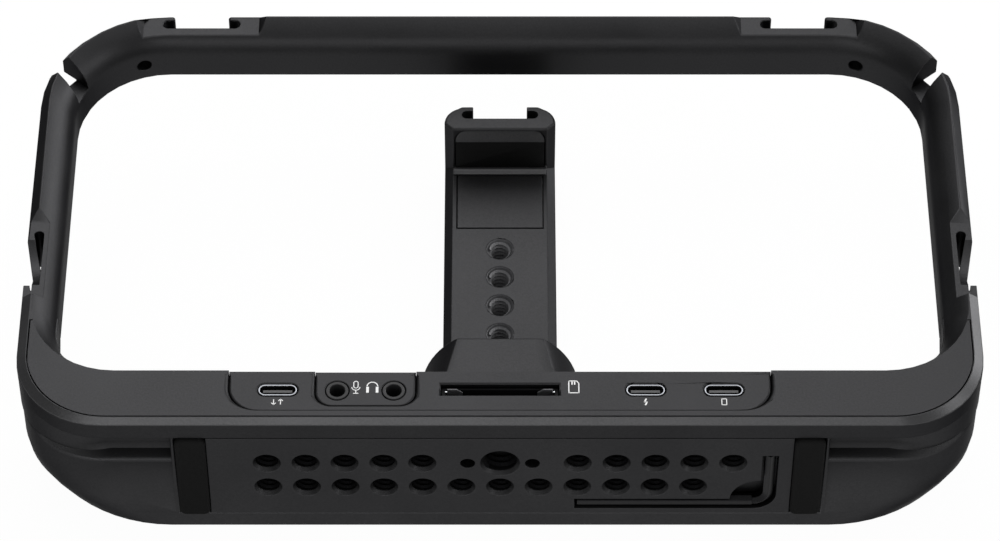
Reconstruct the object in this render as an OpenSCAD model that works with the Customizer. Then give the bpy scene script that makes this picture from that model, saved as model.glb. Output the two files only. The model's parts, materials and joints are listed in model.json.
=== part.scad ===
// Phone cage with a port hub: a machined ring, a hub along its near bar and a sliding clamp arm.
// Lies on its back: X across the cage, Y from the near bar to the far bar, Z up towards the user.
// Lengths are millimetres. Inside the modules, y is counted back from the near face.

/* [Frame] */
// Overall width, outer wall to outer wall
cage_w = 224.4; // [216:0.2:236]
// Depth from the near face to the back of the far bar
cage_d = 130; // [126:0.5:142]
// Height of the side bars and the far bar
ring_h = 14.4; // [13:0.2:15]
// Width of a side bar
side_bar_w = 8.2; // [7.8:0.1:9.5]
// Width of the far bar
far_bar_w = 8.7; // [8.2:0.1:10]
// Outer corner radius beside the near bar
near_corner_r = 20.5; // [18:0.5:24]
// Outer corner radius beside the far bar
far_corner_r = 30; // [26:0.5:34]
// Inner corner radius beside the near bar
inner_near_r = 17; // [14:0.5:20]
// Inner corner radius beside the far bar
inner_far_r = 22; // [18:0.5:25]
// Corner radius of the cover's crescent ends
crescent_r = 20.5; // [18:0.5:24]
// Width of the edge chamfer along the near bar
near_chamfer = 1.2; // [0.8:0.1:2]
// Width of the edge chamfer along the side and far bars
side_chamfer = 2.2; // [1.4:0.1:2.6]
// Height of the edge chamfer beside the near bar
chamfer_h = 1.6; // [1:0.1:2]
// Height of the edge chamfer beside the far bar
far_chamfer_h = 2.7; // [2:0.1:3.2]
// Height of the rolled edge from the ridge down to the inner wall
roll_h = 7.6; // [6:0.2:9]

/* [Hub] */
// Height of the hub, from its underside to the port face
hub_h = 39.6; // [38:0.2:44]
// Depth of the hub, near face to inner wall
hub_d = 15; // [14.6:0.1:18]
// Height of the frame's lip over the hub
lip_h = 6.4; // [6:0.1:7.5]
// Height of the plain band under the base plate
band_h = 5; // [4.4:0.1:6]
// Half width of the full-depth middle of the hub
hub_half_w = 76; // [75.5:0.5:78]
// Corner radius of the hub along its underside
foot_corner_r = 35; // [30:0.5:38]
// Corner radius of the grips
grip_corner_r = 22; // [21:0.5:26]
// Depth of the scoop in each grip
scoop_depth = 2.6; // [1.5:0.1:3.2]
// Depth of the finger groove under the lip
groove_depth = 5; // [4.2:0.1:6]
// Height of the finger groove under the lip
groove_h = 9.8; // [8:0.1:11]
// How far the ridge over each scoop stands back from the near face
ridge_in = 1.7; // [1:0.1:2.4]
// Where each grip's tail ends along the underside
tail_foot_y = 24.5; // [23:0.5:28]
// Where each grip's tail ends at the side bar
tail_top_y = 36; // [34:0.5:37]
// Radius of the hollow end of each grip's tail
tail_r = 26; // [20:1:40]
// Wall between the hub's hollow and its inner face
inner_wall_t = 1.4; // [1.2:0.1:1.8]
// Floor height of the hub's hollow
hollow_z = 11; // [10.8:0.1:12]

/* [Cover and ports] */
// Thickness of the port face plate
cover_t = 2; // [1.6:0.1:2.6]
// Open seam round the cover
cover_seam = 0.3; // [0.2:0.05:0.6]
// Flat rim between the chamfer and the seam
cover_rim = 0.2; // [0.2:0.05:0.5]
// How far back the cover's crescent ends reach
cover_reach = 30; // [26:0.5:30]
// Half width of the set-in port panel
panel_half_w = 62.5; // [62:0.5:66]
// Near edge of the port panel
panel_y = 3.6; // [3:0.1:5]
// Corner radius of the port panel
panel_r = 6.8; // [4:0.2:8]
// Depth the port panel sits below the cover's face
panel_drop = 0.5; // [0.2:0.05:0.6]
// Half width of the audio bezel
audio_half_w = 11.6; // [11:0.1:12.4]
// Centre of the audio bezel
audio_x = -31; // [-32:0.1:-30]
// Near edge of the audio bezel
audio_y = 5.2; // [4.8:0.1:6]
// Distance from the near face to the row of ports
port_y = 9.7; // [9.4:0.1:10]
// Distance of the data port from the left end of the panel
data_port_in = 11.3; // [10:0.1:12]
// Distance of the phone port from the right end of the panel
phone_port_in = 11; // [10:0.1:12]
// Spacing of the power and phone ports
usb_pitch = 18; // [16:0.1:20]
// Width of a USB-C shell
usb_w = 8.94; // [8.8:0.02:9.1]
// Thickness of a USB-C shell
usb_t = 3.2; // [3:0.02:3.3]
// Length of a USB-C shell
usb_l = 8.4; // [7.4:0.1:10]
// Wall of a USB-C shell
usb_wall = 0.38; // [0.25:0.01:0.4]
// Spacing of the microphone and headphone jacks
jack_pitch = 13; // [12:0.1:14]
// Bore of a jack
jack_bore = 3.6; // [3.5:0.02:3.7]
// Collar diameter of a jack
jack_collar = 5.2; // [5:0.1:5.6]
// Length of a jack's body
jack_l = 12; // [10:0.5:14]
// Width of the card socket
card_w = 27; // [26.4:0.1:28]
// Thickness of the card socket
card_t = 3.2; // [3:0.1:3.4]
// Length of the card socket
card_l = 26; // [24:0.5:26.5]
// Width of the card's slot
card_slot_w = 24.6; // [24.4:0.1:25]
// Thickness of the card's slot
card_slot_t = 2.3; // [2.2:0.05:2.5]
// Gap round each port in the panel
port_gap = 0.15; // [0.1:0.01:0.25]

/* [Base plate] */
// Thickness of the base plate
plate_t = 6; // [5.6:0.1:6.2]
// Spacing of the 1/4 inch threads
thread_pitch = 9; // [8.6:0.1:9.2]
// Thread hole for 1/4 inch
quarter_d = 5.2; // [5:0.05:5.4]
// Thread hole for 3/8 inch
three_eighth_d = 7.9; // [7.8:0.05:8]
// Locating pin hole
pin_hole_d = 3.4; // [3:0.1:3.8]
// Spacing of the locating pin holes
pin_spacing = 15; // [14.5:0.1:15.5]
// Height of the upper row of threads
upper_row_z = 23.8; // [23.4:0.1:24.4]
// Height of the lower row of threads
lower_row_z = 14.8; // [14.4:0.1:15]
// Width of a rubber grip pad
pad_w = 7.1; // [6:0.1:7.3]
// How far a grip pad stands out of the near face
pad_proud = 0.8; // [0.4:0.1:1.2]
// How deep a grip pad is let in
pad_depth = 1.6; // [1.2:0.1:2]
// Size of the hex key across its flats
key_af = 2.5; // [2:0.1:2.6]
// Bend radius of the hex key
key_bend_r = 3.6; // [3:0.1:5]
// Height of the key's long leg
key_z = 8.4; // [8.2:0.1:8.8]
// Tip of the key's long leg
key_tip_x = 18; // [14:0.5:24]
// Distance of the key's short leg from the grip pad
key_leg_in = 5.3; // [4.5:0.1:5.7]
// Top of the key's short leg
key_top_z = 26; // [22:0.5:28]
// Room round the hex key in its groove
key_room = 0.4; // [0.3:0.05:0.6]

/* [Clamp] */
// Width of the clamp arm
arm_w = 27.5; // [26.5:0.1:28.5]
// Thickness of the clamp arm
arm_t = 9.6; // [9:0.1:9.8]
// Where the arm's tail ends inside the hub
arm_tail_y = 6.9; // [6.7:0.1:7.6]
// Inner face of the hook
hook_y = 104; // [102:0.5:106]
// Length of the hook from its inner face to its tip
hook_l = 7.4; // [7:0.1:8.4]
// Height of the hook
hook_h = 24.1; // [22.5:0.1:24.2]
// Corner radius of the hook's tip
hook_corner_r = 5; // [4:0.1:6]
// Side chamfer of the arm
arm_chamfer = 2; // [1:0.1:2.6]
// Travel of the arm
arm_travel = 25; // [20:0.5:26]
// First thread in the arm
arm_thread_y = 50.5; // [49:0.5:52]
// Number of threads in the arm
arm_threads = 4; // [3:1:4]
// Sliding clearance round the arm
slide_gap = 0.2; // [0.1:0.02:0.3]
// Front of the lower jaw
jaw_y = 40.2; // [39.5:0.1:41.5]
// Height of the lower jaw
jaw_h = 20.6; // [19.5:0.1:22]
// Wall of the lower jaw beside the arm
jaw_wall = 4.85; // [4.2:0.05:6]
// Set-in of the lower jaw's top edge from the arm's edge, at the front
jaw_front_in = 3.75; // [2.5:0.05:5]
// How far the lower jaw's top edge stands out past the arm's edge, at the hub
jaw_back_out = 2.25; // [0:0.05:3]
// Thickness of the clamp's rubber pads
lining_t = 1.2; // [0.9:0.1:1.5]
// Place of the clamp's lock screw
lock_y = 37; // [36:0.5:38]
// Thread diameter of the lock screw
lock_d = 4; // [3.5:0.5:4]

/* [Cold shoes] */
// Opening between the shoe's lips
shoe_open_w = 13.3; // [12.6:0.1:14]
// Width of the shoe's undercut
shoe_w = 19; // [18.6:0.1:19.4]
// Thickness of the shoe's undercut
shoe_slot_t = 2.6; // [2.2:0.1:2.8]
// Thickness of the shoe's lips
shoe_lip_t = 1.2; // [1:0.1:1.6]
// Distance of the far bar's shoes from the middle
shoe_x = 74.2; // [70:0.1:76]
// Width of the flat milled round a shoe
shoe_flat_w = 28.6; // [26:0.2:30]
// Depth of the flat below the ridge
shoe_flat_drop = 2.5; // [2:0.1:4]
// Run of the slope at each end of the flat
shoe_flat_run = 1.8; // [1:0.1:3]

/* [Strap hooks] */
// Near end of the strap pocket
strap_y = 38.2; // [38:0.1:39]
// Length of the strap pocket's flat floor
strap_l = 23; // [22:0.1:24]
// Depth of the strap pocket below the ridge
strap_drop = 1.5; // [1.2:0.1:1.8]
// Width of the hook's nose
nose_w = 1.5; // [1.3:0.1:1.8]
// Length of the hook's nose
nose_l = 3.6; // [3:0.1:4]
// Depth of the recess outside the strap bar
strap_recess = 2; // [1.6:0.1:2.2]
// Thickness of the strap bar at its far end
strap_bar_t = 1.5; // [1.3:0.1:1.8]
// Width of the strap slot at its far end
strap_slot_w = 2.3; // [2:0.1:2.6]
// How far the strap bar's top dips below the pocket floor
strap_dip = 2.2; // [1.4:0.1:2.6]

/* [Far corners] */
// Width of the corner slot
notch_w = 5.2; // [4:0.1:6]
// Depth of the corner slot below the ridge
notch_drop = 6.9; // [6:0.1:7.4]
// Depth of the relief under the corner slot
notch_depth = 3.7; // [3:0.1:4.4]
// Width of the relief under the corner slot
notch_relief_w = 15; // [10:0.5:16]
// Diameter of the drilled hole beside each far corner
corner_hole_d = 3.4; // [2.5:0.1:4]

/* [Hidden] */
$fn = 64;
hull_fn = 40;
sheet = 0.01;
past = 1;
near_y = (pad_proud - cage_d) / 2;
half_w = cage_w / 2;

// Ring
ridge_flat = 0.3;
chamfer_turn_y = strap_y + 4;
ring_z = hub_h - ring_h;
lip_z = hub_h - lip_h;
ridge_half_w = half_w - side_chamfer;
ridge_far_y = cage_d - side_chamfer;
ridge_far_r = far_corner_r - side_chamfer;
roll_half_w = ridge_half_w - ridge_flat;
roll_far_y = ridge_far_y - ridge_flat;
roll_far_r = ridge_far_r - ridge_flat;
inner_half_w = half_w - side_bar_w;
inner_far_y = cage_d - far_bar_w;
roll_end = 60;
roll_steps = 4;
notch_angle = 25.5;
notch_turn = 40;
notch_z = hub_h - notch_drop;
notch_lap = 0.2;
notch_x = half_w - far_corner_r * (1 - cos(notch_angle));
notch_y = cage_d - far_corner_r * (1 - sin(notch_angle));
corner_hole_x = inner_half_w - inner_far_r + 6.5;
corner_hole_z = ring_z + 4.4;
corner_hole_y = inner_far_y - 2.5;
corner_hole_l = cage_d + past - corner_hole_y;

// Cover, panels and ports
cover_z = hub_h - cover_t;
rim_in = cover_rim + cover_seam;
panel_seam = 0.1;
panel_t = cover_t - panel_drop;
panel_z = hub_h - panel_drop;
audio_drop = 0.3;
audio_r = 4;
audio_z = panel_z - audio_drop;
hollow_rim = 1;
hollow_half_w = panel_half_w + hollow_rim;
window_y = port_y - 3.4;
window_back = hub_d - inner_wall_t;
phone_port_x = panel_half_w - phone_port_in;
usb_x = [data_port_in - panel_half_w, phone_port_x - usb_pitch, phone_port_x];
usb_top_z = panel_z - 0.1;
usb_floor = 1;
tongue_w = 6.7;
tongue_t = 0.7;
tongue_sink = 0.6;
jack_x = [audio_x - jack_pitch / 2, audio_x + jack_pitch / 2];
jack_floor = 1;
jack_room = 0.3;
card_top_z = cover_z;
card_floor = 2;
contact_w = 1;
contact_t = 0.3;
contact_pitch = 2.5;
contact_end = 3;
contact_last = 4;

// Board inside the hub
board_t = 1.2;
board_y = port_y + usb_t / 2;
board_half_w = hollow_half_w - 0.5;
board_z = hollow_z + 0.6;
board_top_z = hub_h - 4.2;
board_screw_d = 1.6;
board_head_d = 3;
board_head_t = 0.8;
board_boss_d = 4;
board_boss_l = window_back - board_y - board_t;
board_screw_l = window_back - board_y + inner_wall_t / 2;
board_screw_x = board_half_w - 2.4;
board_screw_z = [board_z + 2.4, lip_z - 2.4];
chip_t = 0.9;
// Place, height and side of each chip
chips = [[-45, 21.5, 9], [-26, 18.5, 7], [24, 20.5, 6], [42, 22.5, 9], [33.5, 17.5, 4]];

// Base plate
plate_h = lip_z - band_h;
plate_gap = 0.1;
plate_half_w = hub_half_w - 1;
thread_depth = plate_t - 0.6;
thread_lead = 0.7;
lead_depth = 1.1;
thread_last = 6;
upper_first = 2;
pin_hole_depth = 4;
pad_x = plate_half_w - pad_w / 2;
pad_r = 1.6;
key_leg_x = plate_half_w - pad_w - key_leg_in;
key_r = key_af / 2 / cos(30);
key_y = key_af / 2 + 0.3;
key_groove_w = 2 * (key_r + key_room);
key_groove_depth = key_y + key_r + 0.2;
key_end_room = 0.6;
finger_r = 7;
finger_x = key_leg_x - key_groove_w / 2;
finger_z = key_z + key_groove_w / 2;
magnet_d = 3;
magnet_t = 1;
magnet_x = mix(key_tip_x, key_leg_x, 0.6);

// Screws
screw_d = 3;
screw_head_d = 5.4;
screw_head_t = 1.6;
screw_room = 0.4;
head_room = 0.3;
frame_screw_in = 3;
frame_screw_pitch = 15;
frame_screw_x = [hub_half_w + frame_screw_in, hub_half_w + frame_screw_in + frame_screw_pitch];
frame_screw_y = 10.2;
frame_screw_l = 11;
frame_screw_z = cover_z - screw_head_t;
plate_screw_z = [band_h + 5, lip_z - 5];
plate_screw_l = 9;
plate_screw_y = pad_depth + screw_head_t;
small_screw_d = 2;
small_head_d = 3.8;
small_head_t = 2;

// Grips: height, setback of the near face and corner radius at each level, from the underside up
grip_top = lip_z - groove_h;
ridge_r = 0.9;
groove_r = 2.4;
grip_levels = [[0, 0, foot_corner_r], [band_h, 0, mix(grip_corner_r, foot_corner_r, 0.54)],
    [mix(band_h, grip_top, 0.22), 0.62 * scoop_depth, mix(grip_corner_r, foot_corner_r, 0.19)],
    [mix(band_h, grip_top, 0.5), scoop_depth, grip_corner_r],
    [mix(band_h, grip_top, 0.8), mix(scoop_depth, ridge_in, 0.4), grip_corner_r],
    [grip_top - ridge_r, ridge_in, grip_corner_r],
    [grip_top - 0.3 * ridge_r, ridge_in + 0.3 * ridge_r, grip_corner_r],
    [grip_top, ridge_in + ridge_r, grip_corner_r],
    [grip_top + 0.3 * groove_r, mix(ridge_in + ridge_r, groove_depth, 0.75), grip_corner_r],
    [grip_top + groove_r, groove_depth, near_corner_r], [lip_z, groove_depth, near_corner_r]];
grip_back_y = 2 * tail_top_y;
grip_arc_steps = 16;
tail_run = tail_top_y - tail_foot_y;
tail_chord = sqrt(tail_run * tail_run + ring_z * ring_z);
tail_off = sqrt(tail_r * tail_r - tail_chord * tail_chord / 4);
tail_y = (tail_foot_y + tail_top_y) / 2 + tail_off * ring_z / tail_chord;
tail_z = ring_z / 2 - tail_off * tail_run / tail_chord;

// Clamp
arm_pocket_w = arm_w + 2 * slide_gap;
arm_pocket_z = arm_t + slide_gap;
arm_tail_r = 0.4;
hook_tip_y = hook_y + hook_l;
ledge_l = 2.4;
ledge_t = 1.2;
ledge_edge = 0.3;
ledge_y = hook_y - ledge_l;
face_pad_l = 17.4;
face_pad_w = 21.3;
face_pad_t = 1;
face_pad_y = ledge_y - face_pad_l;
hook_pad_w = 22;
hook_pad_z = arm_t + ledge_t;
hook_pad_top = hook_h - 0.9;
hook_pad_r = 3;
hook_pad_bevel = 3;
hook_pad_edge = 0.1;
jaw_w = arm_pocket_w + 2 * jaw_wall;
jaw_front_w = arm_w - 2 * jaw_front_in;
jaw_top_w = arm_w + 2 * jaw_back_out;
jaw_foot_z = 4;
jaw_ease = 0.1;
jaw_bow = 0.9;
jaw_bow_z = mix(jaw_foot_z, jaw_h, 0.65);
jaw_steps = 12;
jaw_pad_w = jaw_front_w - 2;
jaw_pad_h = jaw_h - arm_pocket_z - 1.4;
jaw_screw_x = (arm_pocket_w + jaw_wall) / 2;
jaw_screw_z = band_h + 2.6;
jaw_screw_l = 13;
jaw_screw_end = plate_t + small_head_t + jaw_screw_l;
lock_head_d = 7;
lock_head_t = 2.6;
lock_head_z = 0.6;
lock_head_gap = 0.1;
lock_gap = 0.05;
lock_slot_w = lock_d + 0.5;
lock_head_slot_w = lock_head_d + 0.5;
lock_tip_z = arm_pocket_z + 6;
lock_tip_room = 0.4;
lock_hex_depth = 1.8;

// Strap hooks
strap_ramp = 3.5;
strap_pocket_w = 7;
strap_z = hub_h - strap_drop;
bar_near_y = strap_y + 2.1;
bar_bend_y = strap_y + 6.1;
bar_far_y = strap_y + 17.5;
slot_near_y = strap_y + 8.8;
slot_far_y = strap_y + 19.3;
slot_out_x = half_w - strap_bar_t;
slot_in_x = slot_out_x - strap_slot_w;
recess_x = half_w - strap_recess;
nose_x = half_w - nose_w;
dip_y = strap_y + 10.8;
dip_half_l = 7;
dip_r = (dip_half_l * dip_half_l + strap_dip * strap_dip) / (2 * strap_dip);

function mix(a, b, s) = a + (b - a) * s;

// Share of the way from the inner wall to the ridge, and drop below the ridge, at step i of the roll
function roll_out(i) = (1 - cos(roll_end * i / roll_steps)) / (1 - cos(roll_end));
function roll_drop(i) = roll_h * (1 - sin(roll_end * i / roll_steps) / sin(roll_end));

module from_near() {
    translate([0, near_y, 0]) children();
}

module both_sides() {
    children();
    mirror([1, 0, 0]) children();
}

// Plan outline with one corner radius at the near end and another at the far end
module outline(w, y0, y1, r0, r1) {
    polygon([[-w, y0 + r0], [-w + r0, y0], [w - r0, y0], [w, y0 + r0],
        [w, y1 - r1], [w - r1, y1], [-w + r1, y1], [-w, y1 - r1]]);
    for (s = [-1, 1]) {
        translate([s * (w - r0), y0 + r0]) circle(r0);
        translate([s * (w - r1), y1 - r1]) circle(r1);
    }
}

module slice(z, w, y0, y1, r0, r1) {
    translate([0, 0, z]) linear_extrude(sheet) outline(w, y0, y1, r0, r1, $fn = hull_fn);
}

// Rounded bar along X, w long and t wide
module stadium(w, t) {
    square([w - t, t], center = true);
    for (s = [-1, 1]) translate([s * (w - t) / 2, 0]) circle(t / 2);
}

// Lay a drawing in X and Z so that its thickness runs back from y
module facing(y, t) {
    translate([0, y + t, 0]) rotate([90, 0, 0]) linear_extrude(t) children();
}

// Lay a drawing in Y and Z across the middle, w wide
module across(w) {
    translate([-w / 2, 0, 0]) rotate([90, 0, 90]) linear_extrude(w) children();
}

// Hole or shank along Y
module along_y(x, y, z, d, l) {
    translate([x, y, z]) rotate([-90, 0, 0]) cylinder(d = d, h = l);
}

module along_z(x, y, z, d, l) {
    translate([x, y, z]) cylinder(d = d, h = l);
}

// Solid through rings of points, each ring counter-clockwise seen from the last ring's side
module loft(rings) {
    n = len(rings[0]);
    last = (len(rings) - 1) * n;
    polyhedron([for (ring = rings) each ring], concat(
        [[for (i = [0 : n - 1]) i], [for (i = [n - 1 : -1 : 0]) last + i]],
        [for (a = [0 : n : last - n], i = [0 : n - 1]) [a + i, a + n + i, a + n + (i + 1) % n]],
        [for (a = [0 : n : last - n], i = [0 : n - 1]) [a + i, a + n + (i + 1) % n, a + (i + 1) % n]]));
}

// T-slot of a cold shoe, opening towards +Y at y, cut through z0 to z1
module shoe_cut(x, y, z0, z1) {
    translate([x, 0, z0]) linear_extrude(z1 - z0) {
        translate([0, y - shoe_lip_t - shoe_slot_t / 2]) stadium(shoe_w, shoe_slot_t);
        translate([-shoe_open_w / 2, y - shoe_lip_t - shoe_slot_t])
            square([shoe_open_w, shoe_lip_t + shoe_slot_t + past]);
    }
}

// Outer form of the ring with its chamfered rim
module frame_blank() {
    hull() {
        slice(ring_z, half_w, 0, cage_d, near_corner_r, far_corner_r);
        slice(hub_h - far_chamfer_h, half_w, 0, cage_d, near_corner_r, far_corner_r);
        translate([0, 0, hub_h - chamfer_h]) linear_extrude(sheet) intersection() {
            outline(half_w, 0, cage_d, near_corner_r, far_corner_r, $fn = hull_fn);
            translate([-cage_w, 0]) square([2 * cage_w, chamfer_turn_y]);
        }
        slice(hub_h - sheet, ridge_half_w, near_chamfer, ridge_far_y,
            near_corner_r - near_chamfer, ridge_far_r);
    }
}

module roll_slice(s, z) {
    slice(z, mix(inner_half_w, roll_half_w, s), hub_d, mix(inner_far_y, roll_far_y, s),
        mix(inner_near_r, crescent_r, s), mix(inner_far_r, roll_far_r, s));
}

// The ring's opening, flaring out over the rolled inner edge
module ring_opening() {
    hull() {
        roll_slice(0, ring_z - past);
        roll_slice(0, hub_h - roll_h);
    }
    for (i = [0 : roll_steps - 1]) hull() {
        roll_slice(roll_out(i), hub_h - roll_drop(i));
        roll_slice(roll_out(i + 1), hub_h - roll_drop(i + 1));
    }
}

// Plan of the port face plate, grown by g at its outer edge
module cover_plan(g) {
    difference() {
        outline(ridge_half_w - rim_in + g, near_chamfer + rim_in - g, cage_d,
            near_corner_r - near_chamfer - rim_in + g, far_corner_r);
        outline(roll_half_w, hub_d, cage_d, crescent_r, roll_far_r);
        translate([-cage_w, cover_reach + g]) square([2 * cage_w, cage_d]);
    }
}

// Plan of a set-in panel that is open at the inner wall
module set_in_plan(x, w, y, r) {
    difference() {
        translate([x, 0]) outline(w, y, hub_d + r + past, r, r);
        translate([-cage_w, hub_d]) square([2 * cage_w, cage_d]);
    }
}

module panel_plan(g) {
    set_in_plan(0, panel_half_w + g, panel_y - g, panel_r);
}

module audio_plan(g) {
    set_in_plan(audio_x, audio_half_w + g, audio_y - g, audio_r);
}

// Flat milled round a shoe, with a slope up to the ridge at each end
module shoe_flat(x) {
    w = shoe_flat_w / 2;
    r = w + shoe_flat_run;
    translate([x, 0, hub_h]) facing(inner_far_y, far_bar_w + past)
        polygon([[-w, -shoe_flat_drop], [w, -shoe_flat_drop], [r, 0], [r, past], [-r, past], [-r, 0]]);
}

// Slot across a far corner, with a relief under its outer part
module corner_notch() {
    translate([notch_x, notch_y, 0]) rotate(notch_turn) {
        translate([-2 * far_bar_w, -notch_w / 2, notch_z])
            cube([2 * far_bar_w + notch_depth, notch_w, notch_drop + past]);
        translate([-notch_depth, -notch_relief_w / 2, ring_z - past])
            cube([2 * notch_depth, notch_relief_w, notch_z - ring_z + past + notch_lap]);
    }
}

// Strap hook in the right side bar: pocket floor, strap slot, recess outside the strap bar and its dip
module strap_cut() {
    translate([ridge_half_w, 0, 0]) across(2 * strap_pocket_w)
        polygon([[strap_y, strap_z], [strap_y + strap_l, strap_z], [strap_y + strap_l + strap_ramp, hub_h],
            [strap_y + strap_l + strap_ramp, hub_h + past], [strap_y, hub_h + past]]);
    translate([0, 0, ring_z - past]) linear_extrude(ring_h + 2 * past) {
        polygon([[recess_x, bar_near_y], [nose_x, bar_near_y], [nose_x, strap_y + nose_l],
            [half_w + past, strap_y + nose_l], [half_w + past, bar_far_y], [half_w, bar_far_y],
            [recess_x, bar_bend_y]]);
        polygon([[slot_in_x, slot_near_y], [slot_out_x, slot_far_y], [slot_in_x, slot_far_y]]);
        translate([slot_in_x + strap_slot_w / 2, slot_far_y]) circle(strap_slot_w / 2);
    }
    translate([slot_in_x, dip_y, strap_z - strap_dip + dip_r]) rotate([0, 90, 0])
        cylinder(r = dip_r, h = strap_pocket_w);
}

module cage_frame() {
    color("#2a2a2b") from_near() difference() {
        frame_blank();
        ring_opening();
        translate([-cage_w, -past, ring_z - past])
            cube([2 * cage_w, tail_top_y + past, lip_z - ring_z + past]);
        translate([0, 0, cover_z]) linear_extrude(cover_t + past) cover_plan(cover_seam);
        translate([-hollow_half_w, window_y, lip_z - past])
            cube([2 * hollow_half_w, window_back - window_y, lip_h + past]);
        for (s = [-1, 1]) {
            shoe_flat(s * shoe_x);
            shoe_cut(s * shoe_x, cage_d, ring_z - past, hub_h + past);
        }
        both_sides() {
            corner_notch();
            along_y(corner_hole_x, corner_hole_y, corner_hole_z, corner_hole_d, corner_hole_l);
            strap_cut();
            for (x = frame_screw_x) {
                along_z(x, frame_screw_y, lip_z - past, screw_d + screw_room, lip_h + past);
                along_z(x, frame_screw_y, frame_screw_z, screw_head_d + head_room, cover_t + screw_head_t);
            }
        }
    }
}

// Points round the grips at one level, from the left side along the near face to the right side.
// The setback runs out round each corner, from s = 1 at the near face to s = 0 at the side.
function grip_arc(x, level, start, s0, s1) = [for (i = [0 : grip_arc_steps])
    let (a = start + 90 * i / grip_arc_steps, s = mix(s0, s1, i / grip_arc_steps))
    [x + level[2] * cos(a), level[1] * s * s + level[2] * (1 + sin(a)), level[0]]];
function grip_ring(level) = concat(
    grip_arc(level[2] - half_w, level, 180, 0, 1), grip_arc(half_w - level[2], level, 270, 1, 0),
    [[half_w, grip_back_y, level[0]], [-half_w, grip_back_y, level[0]]]);

module grips() {
    loft([for (level = grip_levels) grip_ring(level)]);
}

// End of the grip's tail: a hollow arc from the underside up to the side bar
module tail_cut() {
    translate([-cage_w, tail_y, tail_z]) rotate([0, 90, 0]) cylinder(r = tail_r, h = 2 * cage_w, $fn = 128);
    translate([-cage_w, tail_y - past, -past]) cube([2 * cage_w, cage_d, hub_h]);
    translate([-cage_w, tail_top_y, ring_z - past]) cube([2 * cage_w, cage_d, hub_h]);
}

module hub_shell() {
    difference() {
        union() {
            grips();
            translate([-hub_half_w, 0, 0]) cube([2 * hub_half_w, hub_d, lip_z]);
        }
        translate([0, 0, -past]) linear_extrude(hub_h)
            outline(inner_half_w, hub_d, 2 * grip_back_y, inner_near_r, 1);
        tail_cut();
        translate([-plate_half_w - plate_gap, -past, band_h - plate_gap])
            cube([2 * (plate_half_w + plate_gap), plate_t + past, plate_h + past]);
        translate([-hollow_half_w, plate_t - past, hollow_z])
            cube([2 * hollow_half_w, window_back - plate_t + past, hub_h]);
        translate([-arm_pocket_w / 2, arm_tail_y - 2 * slide_gap, -past])
            cube([arm_pocket_w, hub_d, arm_pocket_z + past]);
        both_sides() {
            for (x = frame_screw_x)
                along_z(x, frame_screw_y, frame_screw_z - frame_screw_l, screw_d, frame_screw_l + past);
            for (z = plate_screw_z)
                along_y(pad_x, plate_t - past, z, screw_d, plate_screw_y + plate_screw_l - plate_t + past);
            along_y(jaw_screw_x, plate_t - past, jaw_screw_z, small_screw_d + screw_room, hub_d);
            along_y(jaw_screw_x, plate_t - past, jaw_screw_z, small_head_d + head_room, small_head_t + past);
        }
    }
}

module hub_housing() {
    color("#2c2c2d") from_near() difference() {
        union() {
            hub_shell();
            both_sides() for (z = board_screw_z)
                along_y(board_screw_x, board_y + board_t, z, board_boss_d, board_boss_l + sheet);
        }
        both_sides() for (z = board_screw_z)
            along_y(board_screw_x, board_y, z, board_screw_d, board_screw_l);
    }
}

module top_cover() {
    color("#333334") from_near() difference() {
        translate([0, 0, cover_z]) linear_extrude(cover_t) cover_plan(0);
        translate([0, 0, cover_z - past]) linear_extrude(cover_t + 2 * past) panel_plan(panel_seam);
    }
}

module port_panel() {
    color("#303031") from_near() difference() {
        translate([0, 0, cover_z]) linear_extrude(panel_t) panel_plan(0);
        translate([0, 0, cover_z - past]) linear_extrude(cover_t + 2 * past) {
            for (x = usb_x) translate([x, port_y]) stadium(usb_w + 2 * port_gap, usb_t + 2 * port_gap);
            translate([0, port_y]) square([card_w + 2 * port_gap, card_t + 2 * port_gap], center = true);
            audio_plan(panel_seam);
        }
    }
}

module audio_bezel() {
    color("#2b2b2c") from_near() difference() {
        translate([0, 0, cover_z]) linear_extrude(audio_z - cover_z) audio_plan(0);
        for (x = jack_x) along_z(x, port_y, cover_z - past, jack_collar + 2 * port_gap, cover_t + 2 * past);
    }
}

// Blind thread in the near face with a lead-in
module thread_hole(x, z, d) {
    along_y(x, -past, z, d, thread_depth + past);
    translate([x, -sheet, z]) rotate([-90, 0, 0])
        cylinder(d1 = d + 2 * thread_lead, d2 = d, h = lead_depth);
}

// Groove for the hex key, with a finger notch inside its bend
module key_groove() {
    w = key_groove_w / 2;
    facing(-past, key_groove_depth + past) {
        translate([key_tip_x - key_end_room, key_z - w])
            square([key_leg_x - key_bend_r - key_tip_x + key_end_room, key_groove_w]);
        translate([key_leg_x - w, key_z + key_bend_r])
            square([key_groove_w, key_top_z - key_z - key_bend_r + key_end_room]);
        translate([key_leg_x - key_bend_r, key_z + key_bend_r]) intersection() {
            circle(key_bend_r + w);
            translate([0, -key_bend_r - w]) square(key_bend_r + w);
        }
        intersection() {
            translate([finger_x, finger_z]) circle(finger_r);
            translate([finger_x - finger_r, key_z]) square([finger_r, finger_z - key_z + finger_r]);
        }
    }
}

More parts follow.
